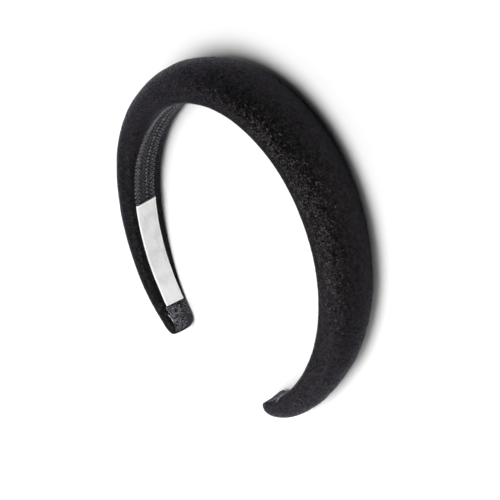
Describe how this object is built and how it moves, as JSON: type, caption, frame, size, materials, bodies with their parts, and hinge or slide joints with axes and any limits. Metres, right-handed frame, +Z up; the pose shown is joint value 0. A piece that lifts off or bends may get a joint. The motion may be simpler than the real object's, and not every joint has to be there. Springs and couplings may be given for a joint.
{
  "type": "padded headband",
  "caption": "Padded velvet headband: a deep rounded arch, wide at the crown and tapering to blunt tips, lined with woven ribbon and a bare satin tag, worn over the hair.",
  "frame": {"origin": "centre of the footprint, on the surface that the band lies on", "axes": "the band lies on its side: +Z is up and runs across the band's width, +Y points to the crown and -Y to the tips, and the arm with the tag is at -X"},
  "size_m": [0.1714, 0.1776, 0.0349],
  "materials": {
    "velvet": "black velvet with a soft sheen and a fine sparkle",
    "ribbon": "charcoal woven ribbon with looped edges",
    "satin": "off-white satin, bare"
  },
  "bodies": {
    "root": {"padded_band": "velvet", "ribbon_lining": "ribbon", "satin_label": "satin"}
  },
  "joints": []
}
